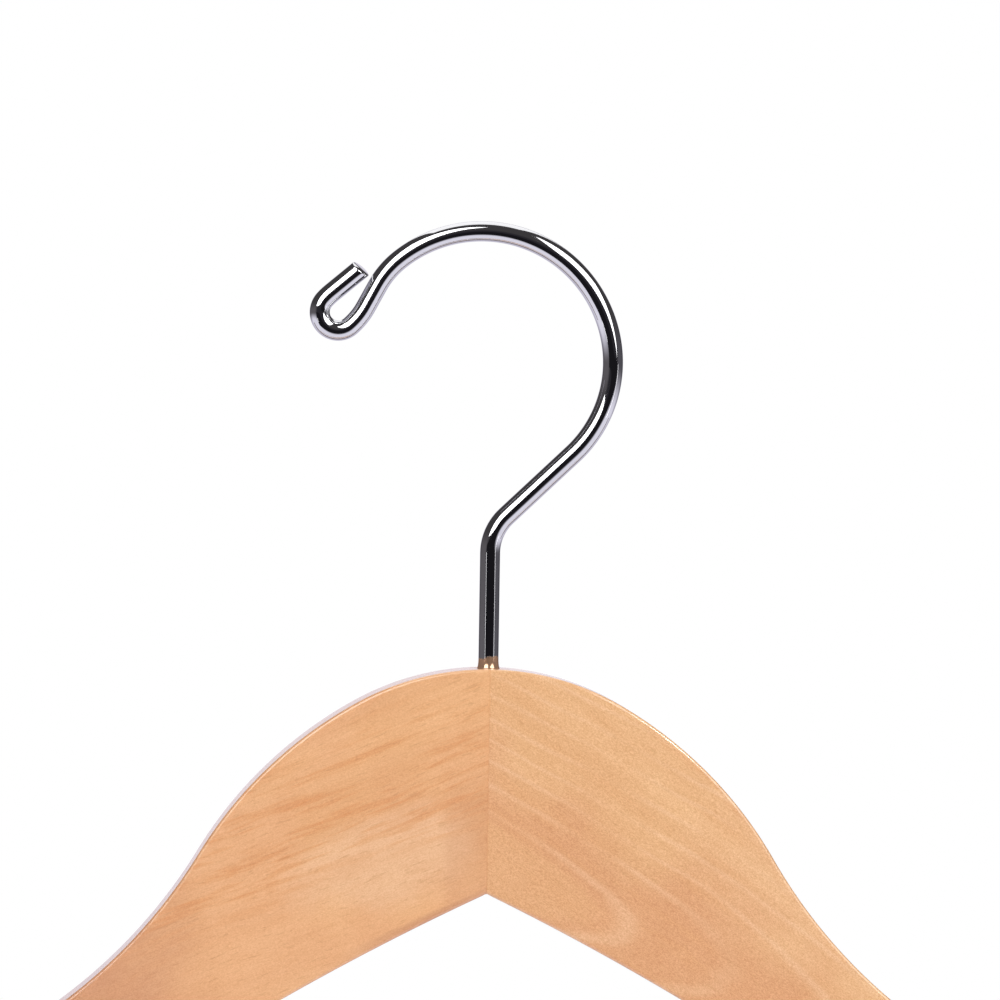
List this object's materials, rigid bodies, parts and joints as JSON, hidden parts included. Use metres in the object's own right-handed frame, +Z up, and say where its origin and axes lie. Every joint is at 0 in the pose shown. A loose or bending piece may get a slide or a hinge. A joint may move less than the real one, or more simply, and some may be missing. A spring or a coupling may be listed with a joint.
{
  "type": "clothes hanger",
  "caption": "Flat wooden top hanger with sloping arms and strap notches, and a chrome wire hook that swivels and ends in a turned-back teardrop tip.",
  "frame": {"origin": "on the hook's swivel axis, level with the inside of the hook's crown, where a rail bears", "axes": "+Z up along the swivel axis, +X along the arms towards the right arm, +Y from the front face to the back face"},
  "size_m": [0.432, 0.012, 0.2337],
  "materials": {
    "left_arm_wood": "clear semi-gloss lacquer over light, slightly pink wood",
    "right_arm_wood": "clear semi-gloss lacquer over light, slightly yellow wood",
    "hook_chrome": "polished chrome plate",
    "zinc_hardware": "dull zinc plate"
  },
  "bodies": {
    "hook": {"swivel_hook": "hook_chrome", "hook_washer": "zinc_hardware", "hook_nut": "zinc_hardware"},
    "shoulders": {"left_arm": "left_arm_wood", "right_arm": "right_arm_wood"}
  },
  "joints": [
    {"name": "hook_swivel", "type": "hinge", "parent": "hook", "child": "shoulders", "pos_m": [0, 0, -0.0841], "axis": [0, 0, 1], "continuous": true}
  ]
}
